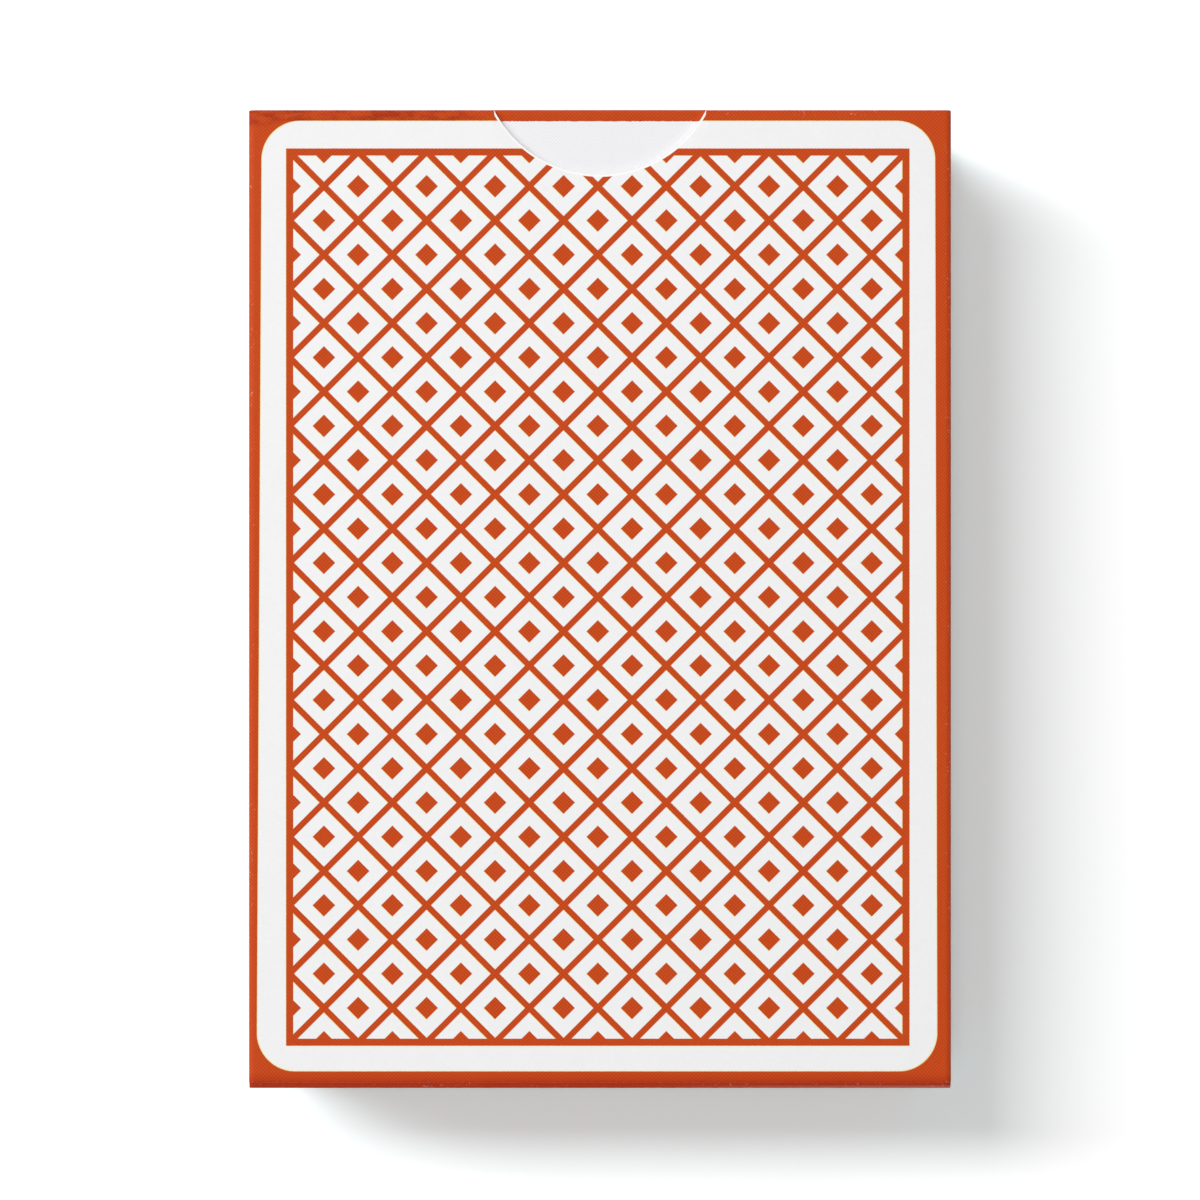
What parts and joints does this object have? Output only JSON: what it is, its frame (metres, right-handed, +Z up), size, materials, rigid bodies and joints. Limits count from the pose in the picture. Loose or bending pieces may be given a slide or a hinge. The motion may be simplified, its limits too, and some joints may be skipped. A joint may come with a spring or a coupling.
{
  "type": "playing card deck in tuck case",
  "caption": "Deck of poker-size playing cards in a printed paperboard tuck case with a thumb notch, a hinged lid, a tuck tongue and dust flaps.",
  "frame": {"origin": "middle of the back panel's outer face, on which the case lies", "axes": "+X across the case, +Y along it towards the lid, +Z up towards the front panel with the thumb notch"},
  "size_m": [0.0654, 0.0912, 0.0179],
  "materials": {
    "printed_board": "satin printed board",
    "white_board": "satin coated board",
    "card_stock": "satin linen-embossed card"
  },
  "bodies": {
    "case": {"case_sleeve": "printed_board", "base_closure": "printed_board"},
    "lid": {"lid": "printed_board"},
    "tongue": {"tuck_tongue": "white_board"},
    "left_flap": {"left_dust_flap": "printed_board"},
    "right_flap": {"right_dust_flap": "printed_board"},
    "deck": {"ace_of_spades": "card_stock", "two_of_spades": "card_stock", "three_of_spades": "card_stock", "four_of_spades": "card_stock", "five_of_spades": "card_stock", "six_of_spades": "card_stock", "seven_of_spades": "card_stock", "eight_of_spades": "card_stock", "nine_of_spades": "card_stock", "ten_of_spades": "card_stock", "jack_of_spades": "card_stock", "queen_of_spades": "card_stock", "king_of_spades": "card_stock", "ace_of_diamonds": "card_stock", "two_of_diamonds": "card_stock", "three_of_diamonds": "card_stock", "four_of_diamonds": "card_stock", "five_of_diamonds": "card_stock", "six_of_diamonds": "card_stock", "seven_of_diamonds": "card_stock", "eight_of_diamonds": "card_stock", "nine_of_diamonds": "card_stock", "ten_of_diamonds": "card_stock", "jack_of_diamonds": "card_stock", "queen_of_diamonds": "card_stock", "king_of_diamonds": "card_stock", "ace_of_clubs": "card_stock", "two_of_clubs": "card_stock", "three_of_clubs": "card_stock", "four_of_clubs": "card_stock", "five_of_clubs": "card_stock", "six_of_clubs": "card_stock", "seven_of_clubs": "card_stock", "eight_of_clubs": "card_stock", "nine_of_clubs": "card_stock", "ten_of_clubs": "card_stock", "jack_of_clubs": "card_stock", "queen_of_clubs": "card_stock", "king_of_clubs": "card_stock", "ace_of_hearts": "card_stock", "two_of_hearts": "card_stock", "three_of_hearts": "card_stock", "four_of_hearts": "card_stock", "five_of_hearts": "card_stock", "six_of_hearts": "card_stock", "seven_of_hearts": "card_stock", "eight_of_hearts": "card_stock", "nine_of_hearts": "card_stock", "ten_of_hearts": "card_stock", "jack_of_hearts": "card_stock", "queen_of_hearts": "card_stock", "king_of_hearts": "card_stock", "joker_one": "card_stock", "joker_two": "card_stock"}
  },
  "joints": [
    {"name": "lid_hinge", "type": "hinge", "parent": "case", "child": "lid", "pos_m": [0, 0.0454, 0.0002], "axis": [-1, 0, 0], "range_deg": [0, 90]},
    {"name": "tongue_fold", "type": "hinge", "parent": "lid", "child": "tongue", "pos_m": [0, 0.0454, 0.01722], "axis": [1, 0, 0], "range_deg": [0, 45]},
    {"name": "left_flap_fold", "type": "hinge", "parent": "case", "child": "left_flap", "pos_m": [-0.03255, 0.04495, 0], "axis": [0, 0, 1], "range_deg": [0, 45]},
    {"name": "right_flap_fold", "type": "hinge", "parent": "case", "child": "right_flap", "pos_m": [0.03255, 0.04495, 0], "axis": [0, 0, -1], "range_deg": [0, 45]},
    {"name": "deck_slide", "type": "slide", "parent": "case", "child": "deck", "axis": [0, 1, 0], "range_m": [0, 0.0005]}
  ],
  "couplings": [
    {"joint": "tongue_fold", "follows": "lid_hinge", "ratio": 0.5},
    {"joint": "left_flap_fold", "follows": "lid_hinge", "ratio": 0.5},
    {"joint": "right_flap_fold", "follows": "lid_hinge", "ratio": 0.5}
  ]
}
